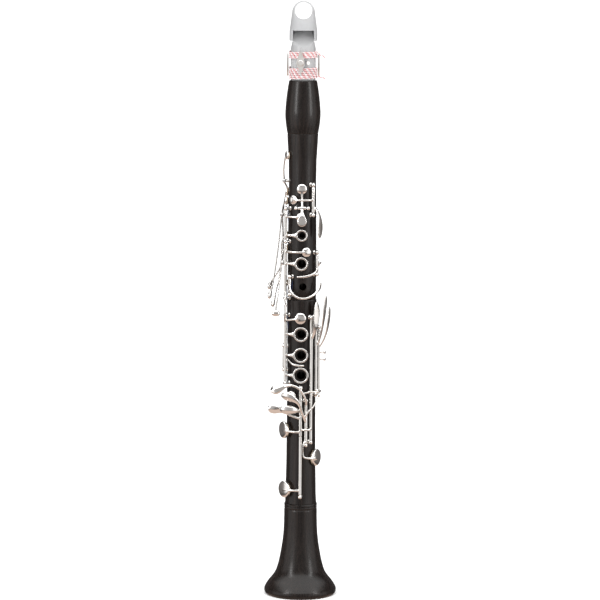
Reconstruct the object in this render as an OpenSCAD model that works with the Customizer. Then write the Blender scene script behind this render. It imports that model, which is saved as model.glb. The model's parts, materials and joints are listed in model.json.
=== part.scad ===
// Boehm-system clarinet in C, millimetres.
// Z is up the bore, from the bell's rim (z = 0) to the cap.
// The tone holes face -Y. A place on the body is given as an angle phi, counted
// from the front (-Y) towards +X, a radius from the bore axis and a height z.

/* [Body] */
// Diameter of the bore
bore_d = 14.6; // [13.8:0.1:15]
// Wall left around the bore at a tenon
tenon_wall = 3.7; // [3.5:0.1:3.8]
// Diameter across the bell's rim
rim_d = 72.7; // [71:0.1:75]
// Widest diameter of the barrel
barrel_d = 35.3; // [34:0.1:37]

/* [Keywork] */
// Outer diameter of the long hinge tubes
tube_d = 3.2; // [3:0.1:3.3]
// Diameter of the steel rods inside the tubes
rod_d = 2; // [1.6:0.1:2]
// Diameter of a post's ball
ball_d = 4.2; // [4:0.1:4.4]
// Diameter of the three large pad cups
big_cup_d = 17; // [15:0.5:17.5]
// Thickness of a large pad
big_pad_t = 3; // [2.6:0.1:3.2]
// Thickness of a small pad
small_pad_t = 2; // [1.8:0.1:2.2]

/* [Mouthpiece] */
// Diameter of the mouthpiece's body
mouthpiece_d = 24.8; // [24:0.1:25.4]
// Diameter of the finger ring's hole in the cap
ring_hole_d = 17; // [15:0.5:17.5]

/* [Hidden] */

silver = [0.86, 0.85, 0.83];
black_wood = [0.10, 0.08, 0.075];
cork_tan = [0.72, 0.55, 0.38];
leather_tan = [0.80, 0.68, 0.52];
frosted = [0.80, 0.80, 0.81];

// Clearances: tube on rod, post hole on rod, closed pad above its seat
run = 0.03;
hole_run = 0.03;
pad_gap = 0.15;
post_foot = 3;
post_d = 2.6;
rim_rise = 0.4;

bore_r = bore_d/2;
tenon_r = bore_r + tenon_wall;
cork_r = tenon_r + 0.42;
socket_r = cork_r + 0.03;

// Heights where one body section ends and the next begins
bell_top = 93;
joint_z = 301;
upper_top = 467.5;
barrel_top = 520.5;
tenon_len = 17;
mid_tenon_len = 13;
small_tenon_len = 14;
socket_play = 1;

// Outer radius of each joint along its height
lower_profile = [[bell_top, 15.9], [96, 15.7], [106, 15.35], [137, 14.75], [173, 14.45],
  [274, 14.4], [281, 14.9], [joint_z, 14.9]];
upper_profile = [[joint_z, 14.3], [313, 14.3], [345, 14.45], [390, 14.0], [415, 13.65],
  [441, 13.95], [460, 15.1], [upper_top, 15.4]];
function skin(z) = z < joint_z ? lookup(z, lower_profile) : lookup(z, upper_profile);
function seat(z) = skin(z) + rim_rise;

// ---------- points, paths and bars ----------
function P(phi, r, z, w = 2, t = 1.4) = [r*sin(phi), -r*cos(phi), z, w, t];
function spline(a, b, c, d, t) =
  0.5*(2*b + (c - a)*t + (2*a - 5*b + 4*c - d)*t*t + (3*b - a - 3*c + d)*t*t*t);
function smooth(rows, n) = let(m = len(rows)) concat(
  [for (i = [0:m - 2], k = [0:n - 1])
    spline(rows[max(i - 1, 0)], rows[i], rows[i + 1], rows[min(i + 2, m - 1)], k/n)],
  [rows[m - 1]]);
function unit(v) = v/norm(v);

// A bar of oval section along rows of [x, y, z, width, thickness]; its thickness
// stands away from the bore axis
module bar(rows, n = 3, sides = 8) {
  q = smooth(rows, n);
  m = len(q);
  place = [for (a = q) [a[0], a[1], a[2]]];
  points = [for (i = [0:m - 1])
    let(along = unit(place[min(i + 1, m - 1)] - place[max(i - 1, 0)]),
        away = [place[i][0], place[i][1], 0],
        up = unit(away - (away*along)*along),
        side = cross(along, up))
    for (k = [0:sides - 1])
      place[i] + side*(q[i][3]/2*cos(360*k/sides)) + up*(q[i][4]/2*sin(360*k/sides))];
  ends = [[for (k = [0:sides - 1]) sides - 1 - k],
    [for (k = [0:sides - 1]) (m - 1)*sides + k]];
  sleeves = [for (i = [0:m - 2], k = [0:sides - 1])
    let(a = i*sides + k, b = i*sides + (k + 1)%sides)
    each [[a, b, b + sides], [a, b + sides, a + sides]]];
  polyhedron(points, concat(ends, sleeves));
}

// Children at a place on the body: at keeps z upright, out turns z away from the bore
module at(phi, r, z) rotate([0, 0, phi]) translate([0, -r, z]) children();
module out(phi, r, z) at(phi, r, z) rotate([90, 0, 0]) children();

// A hinge is [phi, r, z_low, z_high] for an upright rod. Children turn about it
function hinge_point(h) = [h[1]*sin(h[0]), -h[1]*cos(h[0]), 0];
module turned(h, angle)
  translate(hinge_point(h)) rotate([0, 0, angle]) translate(-hinge_point(h)) children();
function swung(p, h, angle) = let(c = hinge_point(h), x = p[0] - c[0], y = p[1] - c[1])
  [c[0] + x*cos(angle) - y*sin(angle), c[1] + x*sin(angle) + y*cos(angle), p[2], p[3], p[4]];

module tube(h, d = tube_d) at(h[0], h[1], h[2]) cylinder(d = d, h = h[3] - h[2], $fn = 32);
module tube_bore(h, d = rod_d)
  at(h[0], h[1], h[2] - 1) cylinder(d = d + 2*run, h = h[3] - h[2] + 2, $fn = 32);
// A key on an upright hinge: its tube and arms, with the rod's bore cut through
module upright_key(h, d = tube_d) difference() {
  union() { tube(h, d); children(); }
  tube_bore(h);
}

// ---------- hinges ----------
u_left = [-60, 19.2, 305, 391];       // index and middle finger rings
index_h = [-60, 19.2, 362.2, 390.8];
middle_h = [-60, 19.2, 305.2, 357.8];
gsharp_h = [38, 17.5, 389.2, 414.8];
sliver_eb_h = [58, 17.6, 329.2, 346.8];
csharp_h = [-43, 18, 309.2, 322.8];
thumb_h = [-140, 18.6, 350.2, 382];
l_left = [-58.5, 19.1, 219.3, 283.7];  // lower joint's finger rings
sliver_b_h = [-78, 18, 232.2, 251.8];
long_low_h = [-2, 18.5, 104.3, 163.8];  // E/B tube, below the F/C tube
f_c_h = [-2, 18.5, 164.2, 185.3];
long_top_h = [-2, 18.5, 185.7, 210.7];
ab_low_h = [15, 18.5, 157.3, 171.8];
fsharp_h = [15, 18.5, 172.2, 186.3];
ab_top_h = [15, 18.5, 186.7, 197.7];
lever_a_h = [33, 17.9, 159.9, 281.8];   // left-hand F/C
lever_b_h = [54, 17.9, 208.3, 281.8];   // left-hand F#/C#
lever_c_h = [74, 17.9, 206.3, 270.8];   // left-hand E/B

// Horizontal hinges, [phi, r, z, half length], square to the radius at phi
register_h = [-105, 17.6, 420, 2.6];
a_h = [-1, 16.9, 394, 4];
side_top_h = [-102.75, 19.5, 386, 4.1];
side_low_h = [-87, 19.5, 338, 3.5];
module cross_tube(h, d = tube_d, from = -1, to = 1)
  at(h[0], h[1], h[2]) rotate([0, 90, 0])
    translate([0, 0, from*h[3]]) cylinder(d = d, h = (to - from)*h[3], $fn = 32);
module cross_bore(h) at(h[0], h[1], h[2]) rotate([0, 90, 0])
  cylinder(d = rod_d + 2*run, h = 2*h[3] + 4, center = true, $fn = 32);

// How far each standing-open key is turned away from its tone hole at rest
ring_open = -4;
big_open = 7;
fsharp_open = 6;
thumb_open = 5;

// ---------- posts: [phi, r, z, kind]; kind 0 holds an upright rod, 1 a cross rod ----------
upper_post_rows = [[-60, 19.2, 393, 0], [-60, 19.2, 360, 0], [-60, 19.2, 303, 0],
  [38, 17.5, 417, 0], [38, 17.5, 387, 0], [58, 17.6, 349, 0], [58, 17.6, 327, 0],
  [-43, 18, 325, 0], [-43, 18, 307, 0], [-140, 18.6, 384.2, 0], [-140, 18.6, 348, 0]];
upper_cross_rows = [[register_h, 4.9], [a_h, 6.2], [side_top_h, 6.4], [side_low_h, 5.6]];
lower_post_rows = [[-58.5, 19.1, 286, 0], [-58.5, 19.1, 217, 0], [-78, 18, 254, 0],
  [-78, 18, 230, 0], [-2, 18.5, 213, 0], [-2, 18.5, 102, 0], [15, 18.5, 200, 0],
  [15, 18.5, 155, 0], [33, 17.9, 284, 0], [33, 17.9, 157.6, 0], [54, 17.9, 284, 0],
  [54, 17.9, 206, 0], [74, 17.9, 273, 0], [74, 17.9, 204, 0]];

module post(p) difference() {
  union() {
    out(p[0], skin(p[2]) - post_foot, p[2])
      cylinder(d = post_d, h = p[1] - skin(p[2]) + post_foot, $fn = 24);
    at(p[0], p[1], p[2]) sphere(d = ball_d, $fn = 32);
    out(p[0], skin(p[2]) + 0.02, p[2]) cylinder(d1 = 4.2, d2 = post_d, h = 0.9, $fn = 24);
  }
  at(p[0], p[1], p[2] - 4) cylinder(d = rod_d + 2*hole_run, h = 8, $fn = 24);
}
module post_hole(p) out(p[0], skin(p[2]) - post_foot - 0.1, p[2])
  cylinder(d = post_d + 0.04, h = post_foot + 6, $fn = 24);

// A cross hinge stands on two posts, side by side across the body; each leans along
// its own radius
function side_post(row, s) = let(h = row[0], half = row[1]*s,
  x = h[1]*sin(h[0]) + half*cos(h[0]), y = -h[1]*cos(h[0]) + half*sin(h[0]))
  [atan2(x, -y), norm([x, y]), h[2]];
module cross_posts(row) for (s = [-1, 1]) let(p = side_post(row, s)) difference() {
  union() {
    out(p[0], skin(p[2]) - post_foot, p[2])
      cylinder(d = post_d, h = p[1] - skin(p[2]) + post_foot, $fn = 24);
    at(p[0], p[1], p[2]) sphere(d = 3.8, $fn = 32);
  }
  at(row[0][0], row[0][1], row[0][2]) rotate([0, 90, 0])
    cylinder(d = rod_d + 2*hole_run, h = 30, center = true, $fn = 24);
}

// ---------- tone holes: [phi, z, hole diameter, rim diameter, rise above the skin] ----------
ring_rise = 1.3;
upper_holes = [[-70, 446, 3, 5.6, rim_rise], [-2, 413, 5, 7.6, rim_rise],
  [-33.6, 402, 4.6, 7, rim_rise], [-110, 409, 4.4, 6.4, rim_rise],
  [-95, 400, 4.6, 6.6, rim_rise], [-86, 366, 4.8, 6.8, rim_rise],
  [-81, 353, 4.8, 6.8, rim_rise], [-5, 385, 4.6, 6.6, rim_rise],
  [0, 366.5, 5.6, 7.9, ring_rise], [17, 350, 5.2, 7.6, rim_rise],
  [-1, 338, 7.6, 9.4, ring_rise], [4, 314.8, 7.4, 7.4, 0],
  [-172, 356, 4, 5.8, rim_rise], [180, 372, 6.4, 8.8, ring_rise],
  [100, 338, 5, 6.8, rim_rise], [-78, 318, 4.4, 6, rim_rise]];
lower_holes = [[-2.5, 283.4, 7, 9.6, rim_rise], [-1.5, 267, 8, 10.6, ring_rise],
  [-1.5, 245.8, 8.2, 10.8, ring_rise], [-1.5, 225.5, 8.6, 11.6, ring_rise],
  [-105, 242, 5, 6.8, rim_rise], [-36, 204, 7, 9.4, rim_rise],
  [-70, 169, 10, 13, rim_rise], [62, 141, 9, 13, rim_rise],
  [-60, 108.7, 10.5, 13, rim_rise]];
module chimney(h) out(h[0], socket_r + 0.6, h[1])
  cylinder(d = h[3], h = skin(h[1]) + h[4] - socket_r - 0.6, $fn = 40);
module tone_hole(h) out(h[0], bore_r - 2, h[1])
  cylinder(d = h[2], h = skin(h[1]) + 3 - bore_r + 2, $fn = 40);

// ---------- the wooden body ----------
// The bell's outer and inner curves, [radius, height]
lip_r = rim_d/2;
bell_outer = [[lip_r - 1, 0.8], [lip_r, 2.8], [lip_r, 5.4], [lip_r - 1, 7.8],
  [32.2, 12.8], [27.8, 18.2], [24.5, 24], [21.7, 33.7], [19.7, 44], [18.1, 54.5],
  [17.1, 65], [16.7, 76], [16.6, 87]];
bell_inner = [[31.8, 1], [27.5, 8], [23.5, 16], [19.2, 27], [15.6, 40], [12.6, 54],
  [10.4, 66], [9.4, 74]];
module bell() color(black_wood) rotate_extrude($fn = 96) polygon(concat(
  [[lip_r - 1.8, 0]], smooth(bell_outer, 3),
  [[16.25, 87.4], [16.25, 88.2], [16.6, 88.7], [16.6, 89.5], [16.2, 89.9], [16.2, 90.6],
   [16.6, 91], [16.6, bell_top - 0.5], [16.1, bell_top], [socket_r, bell_top],
   [socket_r, bell_top - tenon_len - socket_play]],
  [for (i = [len(bell_inner)*3 - 3:-1:0]) smooth(bell_inner, 3)[i]], [[32.4, 0]]));

// Profile rows are [z, radius]; a turned outline wants [radius, z]
function profile_points(rows) = [for (a = rows) [a[1], a[0]]];
module lower_joint() color(black_wood) difference() {
  union() {
    rotate_extrude($fn = 96) polygon(concat(
      [[bore_r, bell_top - tenon_len], [tenon_r, bell_top - tenon_len],
       [tenon_r, bell_top + 0.02], [15.4, bell_top + 0.02]],
      profile_points([for (i = [0:len(lower_profile) - 2])
        i == 0 ? [bell_top + 0.6, 15.85] : lower_profile[i]]),
      [[14.9, joint_z - 0.4], [14.5, joint_z], [socket_r, joint_z],
       [socket_r, joint_z - mid_tenon_len - socket_play],
       [bore_r, joint_z - mid_tenon_len - socket_play]]));
    for (h = lower_holes) chimney(h);
  }
  for (h = lower_holes) tone_hole(h);
  for (p = lower_post_rows) post_hole(p);
  for (x = [-1, 1]) out(180, 11, 243) translate([0, x*6, 0]) cylinder(d = 1.64, h = 6, $fn = 20);
}
module upper_joint() color(black_wood) difference() {
  union() {
    rotate_extrude($fn = 96) polygon(concat(
      [[bore_r, joint_z - mid_tenon_len], [tenon_r, joint_z - mid_tenon_len],
       [tenon_r, joint_z + 0.02], [13.9, joint_z + 0.02], [14.3, joint_z + 0.5]],
      profile_points([for (i = [1:len(upper_profile) - 2]) upper_profile[i]]),
      [[15.4, upper_top - 0.5], [15, upper_top], [tenon_r, upper_top],
       [tenon_r, upper_top + small_tenon_len], [bore_r, upper_top + small_tenon_len]]));
    for (h = upper_holes) chimney(h);
  }
  for (h = upper_holes) if (h[1] < 440 && !(h[0] == 180)) tone_hole(h);
  // The register vent and the thumb bush are metal tubes set through the wood
  out(-70, bore_r - 2, 446) cylinder(d = 4.04, h = 12, $fn = 40);
  out(180, bore_r - 2, 372) cylinder(d = 6.44, h = 12, $fn = 40);
  for (p = upper_post_rows) post_hole(p);
  for (row = upper_cross_rows, s = [-1, 1]) post_hole(side_post(row, s));
}
module cork_ring(low, high) rotate_extrude($fn = 64) polygon([[tenon_r + 0.01, low],
  [cork_r - 0.2, low], [cork_r, low + 0.5], [cork_r, high - 0.5], [cork_r - 0.2, high],
  [tenon_r + 0.01, high]]);
module lower_joint_cork() color(cork_tan) cork_ring(bell_top - tenon_len + 2, bell_top - 2.5);
module upper_joint_corks() color(cork_tan) {
  cork_ring(joint_z - mid_tenon_len + 2, joint_z - 2.5);
  cork_ring(upper_top + 2, upper_top + small_tenon_len - 2);
}

barrel_outer = [[15.5, upper_top + 0.5], [15.9, 470.5], [16.9, 477], [barrel_d/2, 486],
  [17.3, 494], [16.4, 504], [15, 514], [14, barrel_top - 0.6]];
module barrel() color(black_wood) rotate_extrude($fn = 96) polygon(concat(
  [[socket_r, upper_top + 0.02], [15.1, upper_top + 0.02]], smooth(barrel_outer, 3),
  [[13.5, barrel_top], [socket_r, barrel_top],
   [socket_r, barrel_top - small_tenon_len - socket_play],
   [bore_r, barrel_top - small_tenon_len - socket_play],
   [bore_r, upper_top + small_tenon_len + socket_play],
   [socket_r, upper_top + small_tenon_len + socket_play]]));

// Metal tubes through the wood
module register_vent() color(silver) difference() {
  out(-70, bore_r - 1.8, 446) cylinder(d = 4, h = seat(446) - bore_r + 1.8, $fn = 40);
  out(-70, bore_r - 3, 446) cylinder(d = 2.8, h = 14, $fn = 40);
}
module thumb_bush() color(silver) difference() {
  out(180, bore_r - 0.6, 372) cylinder(d = 6.4, h = skin(372) + ring_rise - bore_r + 0.6, $fn = 40);
  out(180, bore_r - 3, 372) cylinder(d = 5.2, h = 14, $fn = 40);
}

// The thumb rest: a curved plate on the back with a hook for the thumb and two screws
thumb_rest_z = 243;
module thumb_rest() color(silver) difference() {
  union() {
    intersection() {
      translate([0, 0, thumb_rest_z - 9]) difference() {
        cylinder(r = skin(thumb_rest_z) + 1.3, h = 18, $fn = 64);
        translate([0, 0, -1]) cylinder(r = skin(thumb_rest_z) + 0.1, h = 20, $fn = 64);
      }
      out(180, 8, thumb_rest_z) translate([-4.5, -9, 0]) cube([9, 18, 12]);
    }
    out(180, skin(thumb_rest_z) + 0.6, thumb_rest_z) translate([-6, -1, 0]) cube([12, 2, 15]);
    out(180, skin(thumb_rest_z) + 14.6, thumb_rest_z) translate([-6, -3, 0])
      cube([12, 4, 1.8]);
    for (x = [-1, 1]) out(180, 11.5, thumb_rest_z) translate([0, x*6, 0]) {
      cylinder(d = 1.6, h = 5, $fn = 20);
      translate([0, 0, skin(thumb_rest_z) + 1 - 11.5]) cylinder(d = 3, h = 0.9, $fn = 24);
    }
  }
}

// ---------- posts and rods ----------
module upper_posts() color(silver) {
  for (p = upper_post_rows) post(p);
  for (row = upper_cross_rows) cross_posts(row);
}
module lower_posts() color(silver) for (p = lower_post_rows) post(p);
module rod(h, low, high) at(h[0], h[1], low) cylinder(d = rod_d, h = high - low, $fn = 24);
module cross_rod(h, half) at(h[0], h[1], h[2]) rotate([0, 90, 0])
  cylinder(d = rod_d, h = 2*half, center = true, $fn = 24);
module upper_rods() color(silver) {
  rod(u_left, 301.6, 394.4);
  rod(gsharp_h, 385.8, 418.4);
  rod(sliver_eb_h, 325.8, 350.2);
  rod(csharp_h, 305.8, 326.2);
  rod(thumb_h, 346.8, 385.4);
  for (row = upper_cross_rows) cross_rod(row[0], row[1] + 1.5);
}
module lower_rods() color(silver) {
  rod(l_left, 215.8, 287.2);
  rod(sliver_b_h, 228.8, 255.2);
  rod(lever_a_h, 156.4, 285.2);
  rod(lever_b_h, 204.8, 285.2);
  rod(lever_c_h, 202.8, 274.2);
}

// ---------- pad cups, pads and finger rings ----------
// Radius from the bore axis at which an arm meets the back of a closed cup
function lid(z, pad_t = small_pad_t) = seat(z) + pad_gap + pad_t + 1.1;
// A hollow cup holding a pad of diameter d, with a low dome
module cup(phi, z, d, pad_t = small_pad_t) out(phi, seat(z) + pad_gap, z)
  rotate_extrude($fn = 48) polygon([[d/2 - 0.5, 0.8], [d/2, 0.8], [d/2, pad_t],
    [d*0.478, pad_t + 0.42], [d*0.43, pad_t + 0.78], [d*0.34, pad_t + 1.14],
    [d*0.22, pad_t + 1.42], [d*0.1, pad_t + 1.56], [0, pad_t + 1.6], [0, pad_t + 0.05],
    [d/2 - 0.5, pad_t + 0.05]]);
module pad(phi, z, d, pad_t = small_pad_t) color(leather_tan)
  out(phi, seat(z) + pad_gap, z) rotate_extrude($fn = 48) polygon([[0, 0], [d/2 - 1, 0],
    [d/2 - 0.6, 0.3], [d/2 - 0.55, pad_t], [0, pad_t]]);
// The space that a pad fills in its cup
module pocket(phi, z, d, pad_t = small_pad_t) out(phi, seat(z) + pad_gap - 0.5, z)
  cylinder(d = d - 1, h = pad_t + 0.55, $fn = 48);
ring_lift = 0.35;
module finger_ring(phi, z, outer_d, inner_d) out(phi, skin(z) + ring_lift, z)
  rotate_extrude($fn = 56) polygon([[inner_d/2, 0.3], [inner_d/2 + 0.25, 0],
    [outer_d/2 - 0.3, 0], [outer_d/2, 0.35], [outer_d/2, 0.9], [outer_d/2 - 0.35, 1.25],
    [inner_d/2 + 0.3, 1.25], [inner_d/2, 0.95]]);
// The arm from a hinge tube at phi, r to a finger ring's edge at edge_phi, edge_r
module ring_arm(h, z, edge_phi, edge_r) bar([P(h[0], h[1], z, 2.5, 1.6),
  P(h[0]*0.76, h[1] - 0.2, z, 2.1, 1.3), P(h[0]*0.4 + edge_phi*0.6, edge_r + 0.35, z, 2.7, 1.3),
  P(edge_phi, edge_r, z, 5, 1.2)]);

// ---------- upper joint keys ----------
module register_key() color(silver) difference() {
  union() {
    cross_tube(register_h);
    cup(-70, 446, 8.5);
    bar([P(-70, lid(446), 446, 2.8, 1.4), P(-76, 18.5, 440, 2.2, 1.4), P(-89, 18.8, 431, 2.2, 1.4),
      P(-105, 18.9, 420, 3.2, 1.6), P(-111.5, 18.9, 417.2, 2.6, 1.5), P(-118, 18.9, 415.4, 2.4, 1.5),
      P(-126, 18.8, 412.4, 2.4, 1.5), P(-134, 18.9, 408.2, 2.4, 1.5), P(-143, 19, 402.5, 2.6, 1.5),
      P(-156, 19.5, 398, 4, 1.5), P(-165, 19.9, 392, 6.6, 1.6), P(-167, 19.8, 386.5, 5.6, 1.3),
      P(-167, 19.6, 384, 2.4, 1)]);
  }
  cross_bore(register_h);
}
module a_key() color(silver) difference() {
  union() {
    cross_tube(a_h);
    cup(-2, 413, 10.3);
    bar([P(-2, lid(413), 413, 3.2, 1.4), P(-1.6, 16.6, 406, 2.2, 1.3), P(-1, 16.5, 400, 2.2, 1.3),
      P(-1, 17.6, 394, 2.6, 1.6), P(-1, 19.3, 390, 3.2, 1.4), P(-1, 20.9, 386, 6.6, 1.3),
      P(-1, 21.5, 381, 10.2, 1.3), P(-1, 21.6, 377.6, 7.6, 1.2), P(-1, 21.4, 376, 3, 1)]);
  }
  cross_bore(a_h);
  pocket(-2, 413, 10.3);
}
module gsharp_key() color(silver) upright_key(gsharp_h) {
  cup(-33.6, 402, 9);
  bar([P(38, 17.5, 402, 2.4, 1.6), P(22, 19.3, 402, 2, 1.4), P(0, 19.2, 402, 1.9, 1.3),
    P(-20, 18.7, 402, 2, 1.3), P(-33.6, lid(402), 402, 2.8, 1.4)]);
  bar([P(38, 17.5, 397, 2.8, 1.8), P(47, 19.4, 392, 3, 1.6), P(52, 21.2, 385.5, 6.2, 1.5),
    P(53.5, 22.2, 376, 9.4, 1.5), P(53.5, 22.1, 368, 7.4, 1.3), P(53.5, 21.7, 363.8, 2.4, 1)]);
}

// Side keys: a cup above a cross hinge, and a long lever down to a finger touch
module side_key(h, half, cup_phi, cup_z, lever) color(silver) difference() {
  union() {
    cross_tube(h, from = min(half, 0.05*half), to = max(half, 0.05*half));
    cup(cup_phi, cup_z, 8.4);
    bar(concat([P(cup_phi, lid(cup_z), cup_z, 2.6, 1.4)], lever));
    children();
  }
  cross_bore(h);
}
module side_key_1() side_key(side_top_h, -1, -110, 409, [P(-111, 18.8, 402, 2.4, 1.5),
  P(-109.5, 20.5, 392, 2.4, 1.6), P(-108.5, 20.9, 382, 2.4, 1.6), P(-113.5, 21.1, 366, 2.3, 1.5),
  P(-116.5, 21.4, 346, 2.3, 1.5), P(-115, 23.6, 333, 2.3, 1.5), P(-111.5, 28.4, 324, 2.4, 1.6),
  P(-109, 32, 318.6, 3.2, 2.2), P(-108, 33.6, 315, 5, 4), P(-107.6, 34.4, 311.6, 5.2, 4.2),
  P(-107.3, 34.6, 309.6, 3, 2)]);
module side_key_2() side_key(side_top_h, 1, -95, 400, [P(-96, 19.7, 394, 2.4, 1.5),
  P(-97.5, 20.9, 386, 2.4, 1.6), P(-100, 22.9, 366, 2.3, 1.5), P(-101.5, 25.3, 346, 2.3, 1.5),
  P(-101, 27.4, 331, 2.4, 1.5), P(-99.6, 29.4, 317, 2.4, 1.5), P(-99.2, 31.2, 309.6, 3.2, 2.2),
  P(-98.8, 32.3, 306, 5, 4), P(-98.8, 33, 302.6, 5.2, 4.2), P(-98.8, 33.2, 300.6, 3, 2)]);
module side_key_3() side_key(side_low_h, -1, -86, 366, [P(-87, 20.2, 359, 2.4, 1.5),
  P(-91, 20.7, 351, 2.3, 1.5), P(-92.4, 20.9, 338, 2.4, 1.6), P(-92, 23, 322, 2.3, 1.5),
  P(-88.4, 26.3, 308, 2.6, 1.7), P(-88.2, 28.6, 298.6, 4.8, 3.8),
  P(-87.8, 29.2, 295.2, 5.2, 4), P(-87.6, 29.4, 293.2, 3, 2)]);
module side_key_4() side_key(side_low_h, 1, -81, 353, [P(-81.4, 20, 347.6, 2.4, 1.5),
  P(-81.6, 20.9, 341, 2.4, 1.6), P(-81.6, 21, 334, 2.4, 1.6), P(-80, 22.9, 318, 2.3, 1.5),
  P(-77, 25, 303, 2.4, 1.5), P(-78, 26.3, 293, 2.8, 1.5), P(-77.5, 26.8, 287, 2.6, 1.4)])
  bar([[-30.2, -5.6, 286.9, 2.4, 1.4], [-28.6, -5.8, 286.9, 5.2, 3.4], [-26, -6, 286.9, 6.2, 4],
    [-23.4, -6.2, 286.9, 5, 3.2], [-21.9, -6.3, 286.9, 2.4, 1.2]]);

module index_ring_key() color(silver) upright_key(index_h) {
  turned(index_h, ring_open) { cup(-5, 385, 8.4); finger_ring(0, 366.5, 12, 8.4); }
  ring_arm(index_h, 366.5, -21.5, 17.2);
  bar([P(-60, 19.2, 385, 2.4, 1.6), P(-42, 19.2, 385, 2, 1.3), P(-22, 18.8, 385, 2, 1.2),
    swung(P(-5, lid(385), 385, 2.6, 1.2), index_h, ring_open)]);
}
module middle_ring_key() color(silver) upright_key(middle_h) {
  turned(middle_h, ring_open) { cup(17, 350, 9.5); finger_ring(-1, 338, 13.7, 9.9); }
  ring_arm(middle_h, 338, -24, 17.6);
  bar([P(-60, 19.2, 350, 2.5, 1.6), P(-36, 20, 350, 2.2, 1.4), P(-10, 20, 350, 2.1, 1.3),
    swung(P(17, lid(350), 350, 2.8, 1.3), middle_h, ring_open)]);
  bar([P(-60, 19.2, 309.5, 2.6, 1.7), P(-52.5, 21.4, 306, 2.4, 1.4), P(-49.5, 21.9, 300.5, 2.4, 1.3),
    P(-48, 20.7, 295, 3.2, 1.2)]);
}
module thumb_ring_key() color(silver) upright_key(thumb_h) {
  turned(thumb_h, thumb_open) { cup(-172, 356, 7); finger_ring(180, 372, 11.6, 9.3); }
  bar([P(-140, 18.6, 372, 2.5, 1.6), P(-150, 18.6, 372, 2.2, 1.3), P(-161.5, 16.5, 372, 4.4, 1.1)]);
  bar([P(-140, 18.6, 356, 2.3, 1.5), P(-157, 19.2, 356, 2, 1.2),
    swung(P(-172, lid(356), 356, 2.4, 1.2), thumb_h, thumb_open)]);
}
module sliver_eb_key() color(silver) upright_key(sliver_eb_h) {
  cup(100, 338, 8);
  bar([P(58, 17.6, 332.5, 2.4, 1.8), P(46, 19.5, 330, 2.2, 1.5), P(30, 19, 327.2, 2.4, 1.3),
    P(8, 18, 325.4, 2.4, 1.2), P(-17, 17.3, 325, 1.7, 1)]);
  bar([P(58, 17.6, 338, 2.4, 1.6), P(72, 19.2, 338, 2.1, 1.4), P(88, 18.9, 338, 2.2, 1.3),
    P(100, lid(338), 338, 2.6, 1.3)]);
}
module csharp_gsharp_key() color(silver) difference() {
  upright_key(csharp_h) csharp_gsharp_arms();
  pocket(-78, 318, 7);
}
module csharp_gsharp_arms() {
  cup(-78, 318, 7);
  bar([P(-43, 18, 317, 2.8, 1.8), P(-37, 19.8, 312.6, 2.4, 1.6), P(-26, 19.9, 307.4, 2.3, 1.5),
    P(-9, 19.5, 304.1, 2.3, 1.5), P(11, 19.4, 303.7, 2.3, 1.5), P(33, 19.7, 306.3, 2.5, 1.5),
    P(50, 20.3, 310.6, 3.2, 1.5), P(59, 21, 314.4, 5.4, 1.6), P(63.5, 21.2, 318.8, 2.8, 1.2)], n = 2);
  bar([P(-43, 18, 318, 2.2, 1.4), P(-50.5, 16.6, 318, 1.9, 1.1), P(-60, 16.2, 318, 1.9, 1),
    P(-69, 16.7, 318, 2, 1), P(-78, lid(318), 318, 2.4, 1.2)]);
}

// ---------- lower joint keys ----------
module lower_ring_key() color(silver) upright_key(l_left) {
  turned(l_left, ring_open) {
    cup(-2.5, 283.4, 11.5);
    finger_ring(-1.5, 267, 15.1, 11.3);
    finger_ring(-1.5, 245.8, 15.3, 11.5);
    finger_ring(-1.5, 225.5, 16.3, 12.3);
  }
  for (z = [267, 245.8, 225.5]) ring_arm(l_left, z, -27.5, 17.9);
  bar([P(-58.5, 19.1, 281.3, 2.5, 1.6), P(-40, 19.7, 281.6, 2.1, 1.3), P(-20, 19.7, 282.6, 2.1, 1.3),
    swung(P(-2.5, lid(283.4), 283.4, 3, 1.3), l_left, ring_open)]);
  bar([P(-58.5, 19.1, 279.5, 2.6, 1.6), P(-50, 21.9, 282.6, 2.4, 1.3), P(-46.5, 22.7, 289, 2.6, 1.3),
    P(-47, 22.6, 297, 3.2, 1.2)]);
}
module sliver_b_fsharp_key() color(silver) upright_key(sliver_b_h) {
  cup(-105, 242, 8);
  bar([P(-78, 18, 241, 2.4, 1.7), P(-68, 16.4, 241, 2.1, 1.1), P(-58, 16.2, 240.6, 2.1, 1),
    P(-46, 16.9, 239.4, 2.1, 1.1), P(-30, 18.3, 237, 2.1, 1.2), P(-12, 18.3, 235.8, 2.1, 1.2),
    P(9, 17.8, 235.5, 1.7, 1)]);
  bar([P(-78, 18, 242, 2.4, 1.6), P(-92, 18.6, 242, 2.1, 1.3), P(-105, lid(242), 242, 2.6, 1.3)]);
}
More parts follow.
